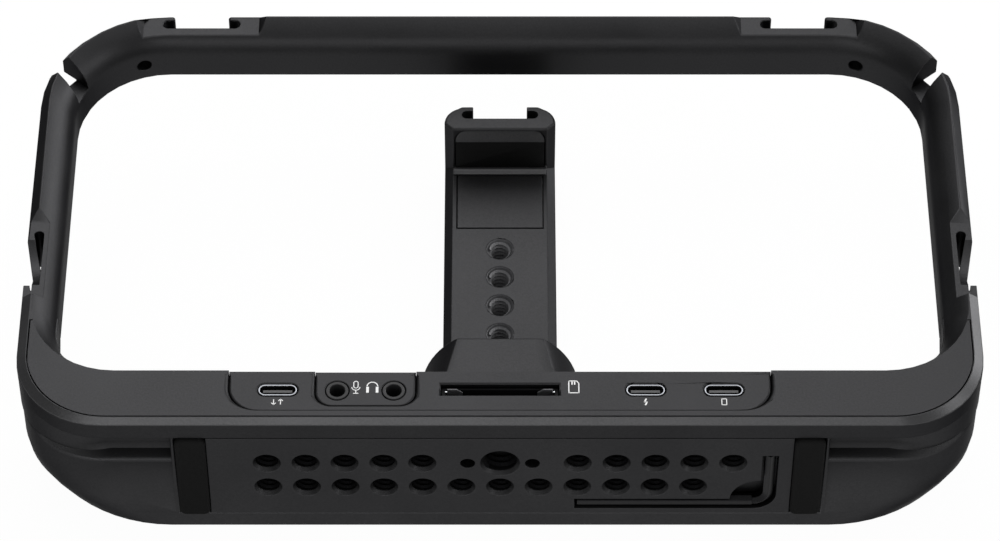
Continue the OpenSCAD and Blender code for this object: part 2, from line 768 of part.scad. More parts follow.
module base_plate() {
    color("#2b2b2c") from_near() difference() {
        translate([-plate_half_w, 0, band_h]) cube([2 * plate_half_w, plate_t, plate_h - plate_gap]);
        thread_hole(0, upper_row_z, three_eighth_d);
        for (s = [-1, 1]) {
            along_y(s * pin_spacing / 2, -past, upper_row_z, pin_hole_d, pin_hole_depth + past);
            for (i = [upper_first : thread_last]) thread_hole(s * i * thread_pitch, upper_row_z, quarter_d);
        }
        for (i = [-thread_last : thread_last - 1]) thread_hole(i * thread_pitch, lower_row_z, quarter_d);
        key_groove();
        along_y(magnet_x, key_groove_depth - past, key_z, magnet_d, magnet_t + past);
        both_sides() {
            translate([pad_x - pad_w / 2 - plate_gap, -past, band_h - past])
                cube([pad_w + 2 * plate_gap + past, pad_depth + past, plate_h + 2 * past]);
            for (z = plate_screw_z) {
                along_y(pad_x, -past, z, screw_d + screw_room, plate_t + 2 * past);
                along_y(pad_x, pad_depth - past, z, screw_head_d + head_room, screw_head_t + past);
            }
        }
    }
}

module grip_pad(x) {
    color("#161616") from_near() translate([x, 0, 0]) facing(-pad_proud, pad_proud + pad_depth)
        outline(pad_w / 2, band_h + plate_gap, lip_z - 2 * plate_gap, pad_r, pad_r);
}

module left_grip_pad() {
    grip_pad(-pad_x);
}

module right_grip_pad() {
    grip_pad(pad_x);
}

module hex_key() {
    long_l = key_leg_x - key_bend_r - key_tip_x;
    short_l = key_top_z - key_z - key_bend_r;
    color("#1b1b1c") from_near() {
        translate([key_tip_x, key_y, key_z]) rotate([0, 90, 0]) cylinder(r = key_r, h = long_l, $fn = 6);
        translate([key_leg_x, key_y, key_z + key_bend_r]) rotate(90)
            cylinder(r = key_r, h = short_l, $fn = 6);
        translate([key_leg_x - key_bend_r, key_y, key_z + key_bend_r]) rotate([90, 0, 0]) rotate(-90)
            rotate_extrude(angle = 90) translate([key_bend_r, 0]) rotate(90) circle(key_r, $fn = 6);
    }
}

module key_magnet() {
    color("silver") from_near() along_y(magnet_x, key_groove_depth, key_z, magnet_d, magnet_t);
}

module plate_screws() {
    color("#3a3a3c") from_near() both_sides() for (z = plate_screw_z) {
        along_y(pad_x, pad_depth, z, screw_head_d, screw_head_t);
        along_y(pad_x, pad_depth, z, screw_d, screw_head_t + plate_screw_l);
    }
}

module frame_screws() {
    color("#3a3a3c") from_near() both_sides() for (x = frame_screw_x) {
        along_z(x, frame_screw_y, frame_screw_z, screw_head_d, screw_head_t);
        along_z(x, frame_screw_y, frame_screw_z - frame_screw_l, screw_d, frame_screw_l + screw_head_t);
    }
}

module hub_board() {
    color("#1d4a35") from_near() difference() {
        translate([-board_half_w, board_y, board_z]) cube([2 * board_half_w, board_t, board_top_z - board_z]);
        for (x = jack_x)
            translate([x - jack_collar / 2 - jack_room, board_y - past, audio_z - jack_l - jack_room])
                cube([jack_collar + 2 * jack_room, board_t + 2 * past, hub_h]);
        both_sides() for (z = board_screw_z)
            along_y(board_screw_x, board_y - past, z, board_screw_d + screw_room, board_t + 2 * past);
    }
}

module hub_chips() {
    color("#202022") from_near() for (chip = chips)
        translate([chip[0] - chip[2] / 2, board_y - chip_t, chip[1] - chip[2] / 2])
            cube([chip[2], chip_t, chip[2]]);
}

module board_screws() {
    color("silver") from_near() both_sides() for (z = board_screw_z) {
        along_y(board_screw_x, board_y - board_head_t, z, board_head_d, board_head_t);
        along_y(board_screw_x, board_y - board_head_t, z, board_screw_d, board_head_t + board_screw_l);
    }
}

module usb_port(x) {
    color("#b9bbbd") from_near() translate([x, port_y, usb_top_z - usb_l]) difference() {
        linear_extrude(usb_l) stadium(usb_w, usb_t);
        translate([0, 0, usb_floor]) linear_extrude(usb_l)
            stadium(usb_w - 2 * usb_wall, usb_t - 2 * usb_wall);
    }
}

module usb_data_port() {
    usb_port(usb_x[0]);
}

module usb_power_port() {
    usb_port(usb_x[1]);
}

module usb_phone_port() {
    usb_port(usb_x[2]);
}

module usb_tongues() {
    color("#19191a") from_near() for (x = usb_x)
        translate([x - tongue_w / 2, port_y - tongue_t / 2, usb_top_z - usb_l + usb_floor])
            cube([tongue_w, tongue_t, usb_l - usb_floor - tongue_sink]);
}

module audio_jack(x) {
    color("#1c1c1d") from_near() difference() {
        along_z(x, port_y, audio_z - jack_l, jack_collar, jack_l);
        along_z(x, port_y, audio_z - jack_l + jack_floor, jack_bore, jack_l);
    }
}

module mic_jack() {
    audio_jack(jack_x[0]);
}

module headphone_jack() {
    audio_jack(jack_x[1]);
}

module sd_socket() {
    color("#1e1e1f") from_near() translate([0, port_y, card_top_z - card_l]) difference() {
        translate([-card_w / 2, -card_t / 2, 0]) cube([card_w, card_t, card_l]);
        translate([-card_slot_w / 2, -card_slot_t / 2, card_floor])
            cube([card_slot_w, card_slot_t, card_l]);
    }
}

module sd_contacts() {
    color("#c9a24a") from_near() for (i = [-contact_last : contact_last])
        translate([i * contact_pitch - contact_w / 2, port_y + card_slot_t / 2 - contact_t,
            card_top_z - card_l + contact_end])
            cube([contact_w, contact_t, card_l - 2 * contact_end]);
}

// Plan of the arm, its tip rounded
module arm_plan() {
    outline(arm_w / 2, arm_tail_y, hook_tip_y, arm_tail_r, hook_corner_r);
}

// Plan of the hook, its inner corners bevelled in line with the arm's side chamfers
module hook_plan() {
    w = arm_w / 2;
    polygon([[-w, hook_y + arm_chamfer], [-w + arm_chamfer, hook_y], [w - arm_chamfer, hook_y],
        [w, hook_y + arm_chamfer], [w, hook_tip_y], [-w, hook_tip_y]]);
}

module arm_bar() {
    w = arm_w / 2;
    facing(arm_tail_y, hook_tip_y - arm_tail_y) polygon([[-w, 0], [w, 0], [w, arm_t - arm_chamfer],
        [w - arm_chamfer, arm_t], [-w + arm_chamfer, arm_t], [-w, arm_t - arm_chamfer]]);
}

// Slot in the arm that the lock screw runs in
module lock_slot(w, h) {
    translate([0, lock_y - arm_travel / 2, -past]) linear_extrude(h + past) rotate(90)
        stadium(arm_travel + w, w);
}

module clamp_arm() {
    color("#313132") from_near() difference() {
        union() {
            intersection() {
                arm_bar();
                linear_extrude(hook_h) arm_plan();
            }
            linear_extrude(hook_h) intersection() {
                hook_plan();
                arm_plan();
            }
            across(arm_w - 2 * arm_chamfer)
                polygon([[ledge_y, arm_t - past], [ledge_y, arm_t + ledge_edge],
                    [ledge_y + ledge_t, hook_pad_z], [hook_y + sheet, hook_pad_z],
                    [hook_y + sheet, arm_t - past]]);
        }
        shoe_cut(0, hook_tip_y, -past, hook_h + past);
        facing(hook_y - past, lining_t / 2 + past)
            outline(hook_pad_w / 2 + plate_gap, hook_pad_z, hook_pad_top + plate_gap, sheet, hook_pad_r);
        translate([-face_pad_w / 2, face_pad_y, arm_t - face_pad_t]) cube([face_pad_w, face_pad_l, arm_t]);
        for (i = [0 : arm_threads - 1]) translate([0, arm_thread_y + i * thread_pitch, 0]) {
            along_z(0, 0, -past, quarter_d, arm_t + 2 * past);
            translate([0, 0, arm_t - lead_depth])
                cylinder(d1 = quarter_d, d2 = quarter_d + 2 * thread_lead, h = lead_depth + sheet);
        }
        lock_slot(lock_slot_w, arm_t + past);
        lock_slot(lock_head_slot_w, lock_head_z + lock_head_t + lock_head_gap);
    }
}

// Lining of the hook, its top edge bevelled
module hook_pad() {
    back_y = hook_y + lining_t / 2;
    front_y = back_y - lining_t;
    color("#111111") from_near() intersection() {
        facing(front_y, lining_t) outline(hook_pad_w / 2, hook_pad_z, hook_pad_top, sheet, hook_pad_r);
        across(hook_pad_w) polygon([[back_y, hook_pad_z], [front_y, hook_pad_z],
            [front_y, hook_pad_top - hook_pad_bevel], [back_y - hook_pad_edge, hook_pad_top],
            [back_y, hook_pad_top]]);
    }
}

module arm_face_pad() {
    color("#232324") from_near()
        translate([-face_pad_w / 2 + plate_gap, face_pad_y + 2 * plate_gap, arm_t - face_pad_t])
            cube([face_pad_w - 2 * plate_gap, face_pad_l - 2 * plate_gap, face_pad_t]);
}

// Point on the jaw's bowed flank, from the top edge at t = 0 to the foot at t = 1
function flank(t, a, b) = pow(1 - t, 3) * [a, jaw_h] + 3 * t * pow(1 - t, 2) * [mix(a, b, jaw_ease), jaw_h]
    + 3 * t * t * (1 - t) * [mix(a, b, jaw_bow), jaw_bow_z] + pow(t, 3) * [b, jaw_foot_z];

// Points round the jaw's section at y
function jaw_ring(top_w, y) = concat([[-jaw_w / 2, y, 0], [jaw_w / 2, y, 0]],
    [for (i = [jaw_steps : -1 : 0]) let (p = flank(i / jaw_steps, top_w / 2, jaw_w / 2)) [p[0], y, p[1]]],
    [for (i = [0 : jaw_steps]) let (p = flank(i / jaw_steps, top_w / 2, jaw_w / 2)) [-p[0], y, p[1]]]);

module lower_jaw() {
    color("#343435") from_near() difference() {
        loft([jaw_ring(jaw_front_w, jaw_y), jaw_ring(jaw_top_w, hub_d)]);
        translate([-arm_pocket_w / 2, hub_d - past, -past]) cube([arm_pocket_w, cage_d, arm_pocket_z + past]);
        translate([-jaw_pad_w / 2, jaw_y - lining_t / 2, arm_pocket_z]) cube([jaw_pad_w, past, jaw_pad_h]);
        along_z(0, lock_y, 0, lock_d + 2 * lock_gap, lock_tip_z + lock_tip_room);
        both_sides()
            along_y(jaw_screw_x, hub_d - past, jaw_screw_z, small_screw_d, jaw_screw_end - hub_d + past);
    }
}

module lower_jaw_pad() {
    color("#151515") from_near()
        translate([-jaw_pad_w / 2 + plate_gap, jaw_y - lining_t / 2, arm_pocket_z + 2 * plate_gap])
            cube([jaw_pad_w - 2 * plate_gap, lining_t, jaw_pad_h - 3 * plate_gap]);
}

module jaw_screws() {
    color("#3a3a3c") from_near() both_sides() {
        along_y(jaw_screw_x, plate_t, jaw_screw_z, small_head_d, small_head_t);
        along_y(jaw_screw_x, plate_t, jaw_screw_z, small_screw_d, jaw_screw_end - plate_t);
    }
}

module clamp_lock_screw() {
    color("#3a3a3c") from_near() translate([0, lock_y, 0]) difference() {
        union() {
            along_z(0, 0, lock_head_z, lock_head_d, lock_head_t);
            along_z(0, 0, lock_head_z, lock_d, lock_tip_z - lock_head_z);
        }
        translate([0, 0, lock_head_z - past]) cylinder(r = key_r, h = lock_hex_depth + past, $fn = 6);
    }
}

cage_frame();
hub_housing();
top_cover();
port_panel();
audio_bezel();
base_plate();
left_grip_pad();
right_grip_pad();
hex_key();
key_magnet();
plate_screws();
frame_screws();
hub_board();
hub_chips();
board_screws();
usb_data_port();
usb_power_port();
usb_phone_port();
usb_tongues();
mic_jack();
headphone_jack();
sd_socket();
sd_contacts();
clamp_arm();
hook_pad();
arm_face_pad();
lower_jaw();
lower_jaw_pad();
jaw_screws();
clamp_lock_screw();
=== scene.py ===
import json
import math
import bmesh
import bpy
from mathutils import Matrix, Vector

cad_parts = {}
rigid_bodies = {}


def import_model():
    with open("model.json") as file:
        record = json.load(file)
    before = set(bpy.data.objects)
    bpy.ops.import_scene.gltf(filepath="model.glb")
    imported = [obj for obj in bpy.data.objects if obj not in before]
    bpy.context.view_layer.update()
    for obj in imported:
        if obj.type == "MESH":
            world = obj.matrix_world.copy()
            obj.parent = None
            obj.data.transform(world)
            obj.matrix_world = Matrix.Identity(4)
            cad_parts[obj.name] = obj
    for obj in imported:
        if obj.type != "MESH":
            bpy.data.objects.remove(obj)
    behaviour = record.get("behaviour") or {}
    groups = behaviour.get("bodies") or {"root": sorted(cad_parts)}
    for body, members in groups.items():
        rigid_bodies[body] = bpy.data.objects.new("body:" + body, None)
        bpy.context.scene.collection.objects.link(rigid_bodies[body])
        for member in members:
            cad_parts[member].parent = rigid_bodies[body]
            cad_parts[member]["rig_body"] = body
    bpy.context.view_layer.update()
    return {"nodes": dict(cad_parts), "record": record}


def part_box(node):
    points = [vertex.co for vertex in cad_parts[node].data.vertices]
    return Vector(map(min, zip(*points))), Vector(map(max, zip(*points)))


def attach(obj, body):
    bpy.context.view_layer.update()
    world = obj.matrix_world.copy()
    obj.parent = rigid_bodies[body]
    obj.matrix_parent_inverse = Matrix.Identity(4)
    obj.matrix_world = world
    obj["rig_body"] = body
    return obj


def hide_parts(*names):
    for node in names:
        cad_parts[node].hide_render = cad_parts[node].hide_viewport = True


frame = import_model()


# The ring: one billet of aluminium, milled to a rolled inner edge and a chamfered rim.
# It is bead-blasted after milling and then anodised black.
# Tumbling before the blast leaves every outer edge broken by about a quarter of a millimetre.
mm = 0.001
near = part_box("base_plate")[0].y
slots = {s["node"]: s["material_slot"] for s in frame["record"]["subparts"]}
weld = 0.002 * mm
level_turn = math.radians(0.5)
broadest_mm = 2.0
beyond = math.inf
shoe_x = 74.2


def placed(point):
    """A point of the frame as mm across, mm back from the base plate's near face, and mm up: x, b and z."""
    return point.x / mm, (point.y - near) / mm, point.z / mm


def within(x, b, z, across=(-beyond, beyond), back=(-beyond, beyond), up=(-beyond, beyond)):
    """Whether a place lies between limits in mm, with both halves of the object taken as one."""
    return across[0] < abs(x) < across[1] and back[0] < b < back[1] and up[0] < z < up[1]


def linear(code):
    """An sRGB hex colour as the linear values that a shader takes."""
    levels = [int(code[i:i + 2], 16) / 255 for i in (1, 3, 5)]
    return [c / 12.92 if c <= 0.04045 else ((c + 0.055) / 1.055) ** 2.4 for c in levels] + [1.0]


def wire(tree, kind, values=(), links=(), **settings):
    """A node with its settings, fixed inputs and links."""
    made = tree.nodes.new("ShaderNode" + kind)
    for key, value in settings.items():
        setattr(made, key, value)
    for key, value in dict(values).items():
        made.inputs[key].default_value = value
    for key, source in dict(links).items():
        tree.links.new(source, made.inputs[key])
    return made


def finish(name, deep, pale, grain_mm, bump_mm, rough, metallic, gleam=0.5, rim="#ffffff"):
    """A surface of two close shades, with a fine grain and slow patches that change its gloss a little.
    Real grain is finer on most of them, and is drawn as coarse as it has to be to show at all."""
    patch_mm, shade_lift, rough_swing = 24, 0.25, 0.05
    made = bpy.data.materials.new(name)
    made.use_nodes = True
    tree = made.node_tree
    tree.nodes.clear()
    place = wire(tree, "TexCoord").outputs["Object"]
    grain = wire(tree, "TexNoise", {"Scale": 1 / (grain_mm * mm), "Detail": 3.0, "Roughness": 0.6},
                 {"Vector": place}).outputs["Fac"]
    patch = wire(tree, "TexNoise", {"Scale": 1 / (patch_mm * mm), "Detail": 2.0},
                 {"Vector": place}).outputs["Fac"]
    blend = wire(tree, "Math", {2: shade_lift}, {0: grain, 1: patch}, operation="MULTIPLY_ADD")
    tint = wire(tree, "ValToRGB", links={"Fac": blend.outputs[0]})
    for end, position, code in zip(tint.color_ramp.elements, (0.35, 0.65), (deep, pale)):
        end.position = position
        end.color = linear(code)
    matt = wire(tree, "MapRange", {"From Min": 0.3, "From Max": 0.7,
                                   "To Min": rough - rough_swing, "To Max": rough + rough_swing},
                {"Value": patch})
    tooth = wire(tree, "Bump", {"Strength": 1.0, "Distance": bump_mm * mm}, {"Height": grain})
    skin = wire(tree, "BsdfPrincipled",
                {"Metallic": metallic, "Specular IOR Level": gleam, "Specular Tint": linear(rim)},
                {"Base Color": tint.outputs["Color"], "Roughness": matt.outputs["Result"],
                 "Normal": tooth.outputs["Normal"]})
    wire(tree, "OutputMaterial", links={"Surface": skin.outputs["BSDF"]})
    return made


def anodised(name, deep, pale, grain_mm=0.45, bump_mm=0.012, rough=0.47):
    """Blasted aluminium under a dyed oxide, which dims what the metal mirrors from every side."""
    return finish(name, deep, pale, grain_mm, bump_mm, rough, 1.0, rim="#a4a4a4")


def shown(shape, name, material, body, slot, *nodes):
    """A finished mesh as a piece on its body, in place of any nodes that it stands for."""
    mesh = bpy.data.meshes.new(name)
    shape.to_mesh(mesh)
    shape.free()
    mesh.materials.append(material)
    piece = bpy.data.objects.new(name, mesh)
    bpy.context.scene.collection.objects.link(piece)
    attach(piece, body)
    if nodes:
        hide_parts(*nodes)
    return piece


def welded(name):
    """A copy of a solid's mesh, its loose triangles joined into whole faces."""
    shape = bmesh.new()
    shape.from_mesh(frame["nodes"][name].data)
    bmesh.ops.remove_doubles(shape, verts=shape.verts, dist=weld)
    bmesh.ops.dissolve_limit(shape, angle_limit=level_turn, verts=shape.verts, edges=shape.edges)
    return shape


def halfway(edge):
    """The middle of an edge."""
    return (edge.verts[0].co + edge.verts[1].co) / 2


def eased(name, material, edge_mm, own=None, fold=28, segments=2, cut=(), bright=None, shape=None, even=True):
    """A solid's mesh, or a shape made from it, with its outer edges broken by edge_mm.
    Where own gives a width for an edge's place, that holds instead. Faces that bright picks out take
    one of the metals in cut, and an edge that turns by less than fold degrees is shaded as a curve."""
    if shape is None:
        shape = welded(name)
    share = shape.edges.layers.float.new("bevel_weight_edge")
    for face in shape.faces:
        face.smooth = True
        if bright:
            face.material_index = bright(*placed(face.calc_center_median()), face.normal)
    for edge in shape.edges:
        turn = edge.calc_face_angle_signed(0)
        edge.smooth = abs(turn) < math.radians(fold)
        if turn > math.radians(fold):
            width = own(*placed(halfway(edge))) if own else None
            edge[share] = (edge_mm if width is None else width) / broadest_mm
    piece = shown(shape, name + "_finish", material, frame["nodes"][name]["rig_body"], slots[name], name)
    for metal in cut:
        piece.data.materials.append(metal)
    broken = piece.modifiers.new("broken_edges", "BEVEL")
    broken.width = broadest_mm * mm
    broken.segments = segments
    broken.limit_method = "WEIGHT"
    broken.use_clamp_overlap = False
    if even:
        piece.modifiers.new("even_normals", "WEIGHTED_NORMAL").keep_sharp = True


def ring_edge(x, b, z):
    """Sharp on the thin walls of the cover's pocket and the strap hooks' teeth, fine on slots and ridge."""
    pocket_wall = within(x, b, z, back=(-beyond, 36), up=(38.5, beyond))
    pocket_floor = within(x, b, z, back=(-beyond, 31), up=(37.2, 38))
    hook_tooth = within(x, b, z, across=(109, beyond), back=(33, 46))
    strap_slot = within(x, b, z, across=(105, beyond), back=(36, 64))
    corner_slot = within(x, b, z, across=(102, beyond), back=(106, 121))
    shoe_lip = within(abs(x) - shoe_x, b, z, across=(6, 7), back=(128.3, beyond))
    ridge = within(x, b, z, up=(39.4, beyond))
    if pocket_wall or pocket_floor or hook_tooth:
        return 0
    if strap_slot or corner_slot:
        return 0.12
    if shoe_lip:
        return 0.55
    if ridge:
        return 0.12


def near_chamfer_highlight(x, b, z, normal):
    """Whether a face is on the slope along the near lip and round its two ends, which takes a painted
    highlight.
    """
    slope = z > 37.9 and 0.25 < normal.z < 0.95
    along = b < 22 and normal.y < -0.2
    round_end = b < 40 and abs(x) > 109 and normal.x * x > 0
    return slope and (along or round_end)


# The dye in the oxide drinks most of the light, so the metal mirrors the room dimly and softly.
# Blasted grit of about 0.1 mm, drawn at 0.45 mm so that it shows at this distance.
ring_black = anodised("black_anodised_aluminium", "#2d2d2e", "#353536", rough=0.46)
# The near chamfer takes a paler, smoother copy of the ring's finish: a painted highlight along the lip.
painted_highlight_grey = anodised("painted_highlight_anodised", "#464647", "#505051", bump_mm=0.006, rough=0.42)
eased("cage_frame", ring_black, 0.25, ring_edge, cut=[painted_highlight_grey], bright=near_chamfer_highlight)


# The hub housing: a second billet under the near bar, with a scooped grip at each end.
# It is blasted and anodised as the ring is, and bolted to it from above under the cover.
# The same dye and grain, painted a shade paler than the ring: painted light on its faces that turn to the
# near side
hub_painted_paler = anodised("black_anodised_hub_painted_paler", "#323233", "#3b3b3c")
eased("hub_housing", hub_painted_paler, 0.3, fold=34)


# Inside the hub: a green circuit board with moulded chips, held by steel screws.
# None of it shows unless the panels come off, so the solids keep their own shapes.
def coated(material, *names):
    """Solids that keep their own shapes and take only a finish."""
    for name in names:
        frame["nodes"][name].data.materials.clear()
        frame["nodes"][name].data.materials.append(material)


# Lacquer over copper and glass cloth: deep green with a clear gloss
board_green = finish("solder_mask", "#0f3a26", "#15472f",
                     grain_mm=1.2, bump_mm=0.004, rough=0.35, metallic=0.0)
# Filled epoxy, straight from the mould: dull and almost black
chip_black = finish("chip_resin", "#141415", "#1b1b1c",
                    grain_mm=0.3, bump_mm=0.004, rough=0.6, metallic=0.0)
# Black zinc on steel: a dark metal shine
screw_black = finish("black_zinc_steel", "#2a2a2c", "#363638",
                     grain_mm=0.3, bump_mm=0.003, rough=0.38, metallic=1.0)
coated(board_green, "hub_board")
coated(chip_black, "hub_chips")
coated(screw_black, "board_screws", "frame_screws", "plate_screws", "jaw_screws")


# Plug ports: three drawn steel shells with nickel plating, soldered to the board.
# Each holds a moulded tongue, and its lip stands in the port panel.
# Smooth plating mirrors the room, so each lip is a thin bright line
nickel = finish("nickel_plated_steel", "#6c6e72", "#808286",
                grain_mm=0.3, bump_mm=0.001, rough=0.25, metallic=1.0)
# Filled plastic: dark grey with a soft gleam
tongue_grey = finish("moulded_tongue", "#2c2c2d", "#363637",
                     grain_mm=0.3, bump_mm=0.002, rough=0.5, metallic=0.0)
for name in ("usb_data_port", "usb_power_port", "usb_phone_port"):
    eased(name, nickel, 0.1)
coated(tongue_grey, "usb_tongues")


# Jacks and the card socket: black moulded bodies with plated contacts inside.
# They are soldered to the board, and the jacks' collars stand in the bezel with a dark gap round them.
# Painted shade: the socket's plastic is painted nearly black and without gloss, for its deep mouth where
# hardly any light comes back
socket_painted_shade = finish("moulded_socket_painted_shade", "#0c0c0d", "#121213",
                      grain_mm=0.3, bump_mm=0.003, rough=0.6, metallic=0.0, gleam=0.1)
# The same plastic painted as lit, for the jacks that stand in the light: dark grey, half matt
collar_painted_light = finish("moulded_collar_painted_light", "#1e1e1f", "#262627",
                     grain_mm=0.3, bump_mm=0.003, rough=0.5, metallic=0.0, gleam=0.25)
# A thin flash of gold: warm yellow in a dark mouth
gold = finish("gold_plated_contact", "#a8812f", "#c79d45",
              grain_mm=0.4, bump_mm=0.001, rough=0.3, metallic=1.0)
for name in ("mic_jack", "headphone_jack"):
    eased(name, collar_painted_light, 0.15)
eased("sd_socket", socket_painted_shade, 0.1)
coated(gold, "sd_contacts")


# Spring clips of the card socket: two stamped steel tabs in the mouth, each with a folded lug.
# They press a card forward onto the contacts, and are tucked into the moulding.
tab_outline = ((12.2, 36.4), (12.2, 38.6), (10.0, 38.6), (8.6, 37.4), (8.6, 36.4))
tab_b, tab_mm, tab_round_mm = 10.1, 0.25, 0.08
lug_x, lug_b, lug_z, lug_round_mm = 12.4, 9.8, 37.5, 0.12
lug_size = Vector((0.6, 0.35, 1.4)) * mm


def at(x, b, z):
    """A place in mm across, back and up, as a point of the frame."""
    return Vector((x * mm, near + b * mm, z * mm))


def drawn_out(shape, faces, offset):
    """Flat faces given their thickness along an offset."""
    drawn = bmesh.ops.extrude_face_region(shape, geom=faces)["geom"]
    bmesh.ops.translate(shape, verts=[v for v in drawn if isinstance(v, bmesh.types.BMVert)], vec=offset)


# Rolled strip: a soft mid grey, hardly mirroring
clip_steel = finish("spring_steel", "#525254", "#5e5e60",
                    grain_mm=0.3, bump_mm=0.001, rough=0.4, metallic=0.3)
# The lugs are painted near-white as highlights, so each fold is the brightest spot in the mouth
lug_highlight_steel = finish("spring_steel_painted_highlight", "#c0c2c4", "#d6d8da",
                   grain_mm=0.3, bump_mm=0.001, rough=0.25, metallic=1.0)
clips, lugs = bmesh.new(), bmesh.new()
for side in (-1, 1):
    tab = clips.faces.new([clips.verts.new(at(side * x, tab_b, z)) for x, z in tab_outline])
    drawn_out(clips, [tab], (0, tab_mm * mm, 0))
    lug_place = at(side * lug_x, lug_b, lug_z)
    bmesh.ops.create_cube(lugs, size=1, matrix=Matrix.LocRotScale(lug_place, None, lug_size))
bmesh.ops.recalc_face_normals(clips, faces=clips.faces)
for shape, round_mm in ((clips, tab_round_mm), (lugs, lug_round_mm)):
    bmesh.ops.bevel(shape, geom=shape.edges, offset=round_mm * mm, segments=2, profile=0.5, affect="EDGES",
                    material=-1)
shown(clips, "card_clips", clip_steel, "cage", slots["sd_socket"])
shown(lugs, "card_clip_lugs", lug_highlight_steel, "cage", slots["sd_contacts"])


# Cover, port panel and bezel: the panel is let into the cover, and the bezel into the panel.
# The cover is blasted and anodised aluminium; panel and bezel are moulded, and finished to match it.
# Their meeting edges are rounded, so each seam is a soft groove that runs out just short of the far edge.
panel_half, panel_start, panel_radius = 62.5, 3.6, 6.8
bezel_x, bezel_half, bezel_start, bezel_radius = -31, 11.6, 5.2, 4
seam_end, seam_reach = 13.9, 0.3
cover_ends = 109.3
# Edges that lie lower than a plate's brow are hidden, and stay sharp
cover_brow, panel_brow, bezel_brow = 39, 38.6, 38.3


def scored(shape, point, across):
    """A shape with a line cut round it where its edges or its shading change."""
    bmesh.ops.bisect_plane(shape, geom=shape.verts[:] + shape.edges[:] + shape.faces[:],
                           plane_co=point, plane_no=across)
    return shape


def off_outline(x, b, middle, half, start, radius):
    """Distance from a plate's outline: near corners of radius, straight sides, far edge open."""
    over = abs(x - middle) - half + radius
    under = start + radius - b
    return abs(math.hypot(max(over, 0), max(under, 0)) + min(max(over, under), 0) - radius)


def by_panel(x, b):
    """Whether a place is on the seam between cover and panel."""
    return off_outline(x, b, 0, panel_half, panel_start, panel_radius) < seam_reach


def by_bezel(x, b):
    """Whether a place is on the seam between panel and bezel."""
    return off_outline(x, b, bezel_x, bezel_half, bezel_start, bezel_radius) < seam_reach


def opening(run, least, gain, most):
    """The rounding of a seam's edge, which grows with its run back from the plate's near end."""
    return min(least + gain * run, most)


def cover_edge(x, b, z):
    """Sharp below and at the far edge, and open along the panel's seam."""
    if z < cover_brow or b > seam_end and abs(x) < cover_ends:
        return 0
    if by_panel(x, b):
        return opening(b - panel_start, 0.35, 0.25, 1.0)


def panel_edge(x, b, z):
    """Sharp below and at the far edge, and open along both seams."""
    if z < panel_brow or b > seam_end:
        return 0
    if by_panel(x, b):
        return opening(b - panel_start, 0.25, 0.15, 0.6)
    if by_bezel(x, b):
        return opening(b - bezel_start, 0.4, 0.2, 0.9)


def bezel_edge(x, b, z):
    """Sharp below and at the far edge, and open along its own seam."""
    if z < bezel_brow or b > seam_end:
        return 0
    if by_bezel(x, b):
        return opening(b - bezel_start, 0.3, 0.15, 0.6)


# Blasted and dyed with the ring, so that both read as one dark surface
cover_grey = anodised("dark_grey_anodised_cover", "#2d2d2e", "#353536")
# The cover's dark sheen with a finer grain: a little flatter and more even
panel_grey = anodised("matt_grey_panel", "#2d2d2e", "#343435", grain_mm=0.4, bump_mm=0.010, rough=0.48)
for name, material, edge_mm, own in (("top_cover", cover_grey, 0.06, cover_edge),
                                     ("port_panel", panel_grey, 0.4, panel_edge),
                                     ("audio_bezel", panel_grey, 0.3, bezel_edge)):
    eased(name, material, edge_mm, own, segments=3, shape=scored(welded(name), at(0, seam_end, 0), (0, 1, 0)))


# Printed marks: white epoxy ink, screen-printed a few hundredths of a millimetre thick.
# Plain generic signs for microphone, headphones, card, data, power and telephone.
# They are drawn flat in mm, and put in place together at the end.
panel_top, bezel_top, ink_mm = 39.1, 38.8, 0.03
mic_x, ears_x, card_x = -33.2, -29.4, 17.0
data_x, power_x, phone_x, port_sign_b = -51.2, 33.5, 51.5, 6.1
stroke, thin_stroke = 0.22, 0.2
marks = bmesh.new()


def dab(x, b, wide, tall, turn=0):
    """A printed bar, turned about its middle in degrees."""
    bmesh.ops.create_grid(marks, x_segments=1, y_segments=1, size=0.5, matrix=Matrix.LocRotScale(
        Vector((x, b, 0)), Matrix.Rotation(math.radians(turn), 3, "Z"), Vector((wide, tall, 1))))


def sweep(x, b, outer, inner, start, angle):
    """A printed arc between two radii, from start through angle in degrees."""
    ends = [marks.verts.new((x + r, b, 0)) for r in (outer, inner)]
    line = marks.edges.new(ends)
    bmesh.ops.rotate(marks, verts=ends, cent=(x, b, 0), matrix=Matrix.Rotation(math.radians(start), 3, "Z"))
    bmesh.ops.spin(marks, geom=ends + [line], cent=(x, b, 0), axis=(0, 0, 1),
                   angle=math.radians(angle), steps=14)


def printed(level):
    """Everything drawn since the last call, given its ink thickness on the face at level."""
    fresh = [f for f in marks.faces if f.tag is False]
    for face in fresh:
        if face.normal.z < 0:
            face.normal_flip()
    drawn_out(marks, fresh, (0, 0, level + ink_mm))
    for vert in marks.verts:
        if vert.co.z == 0:
            vert.co.z = level - ink_mm
    for face in marks.faces:
        face.tag = True


# Microphone: a capsule in a cradle on a foot
for b, start in ((11.9, 0), (10.9, 180)):
    sweep(mic_x, b, 0.6, 0.4, start, 180)
for side in (-1, 1):
    dab(mic_x + side * 0.5, 11.4, thin_stroke, 1.0)
sweep(mic_x, 10.7, 1.03, 0.85, 180, 180)
dab(mic_x, 9.3, stroke, 0.8)
dab(mic_x, 8.85, 1.2, stroke)
# Headphones: a band and two cups
sweep(ears_x, 10.9, 1.35, 1.1, 0, 180)
for side in (-1, 1):
    dab(ears_x + side * 1.1, 9.9, 0.62, 1.7)
printed(bezel_top)

# Card: an outline with one corner cut off and two contacts
card_stroke = 0.24
dab(card_x - 1.15, 10.5, card_stroke, 3.7)
dab(card_x + 1.15, 10.1, card_stroke, 2.9)
dab(card_x, 8.77, 2.3, card_stroke)
dab(card_x - 0.3, 12.25, 1.9, card_stroke)
dab(card_x + 0.9, 11.9, card_stroke, 0.9, 35)
for contact in (-0.4, 0.2):
    dab(card_x + contact, 11.6, 0.3, 0.9)
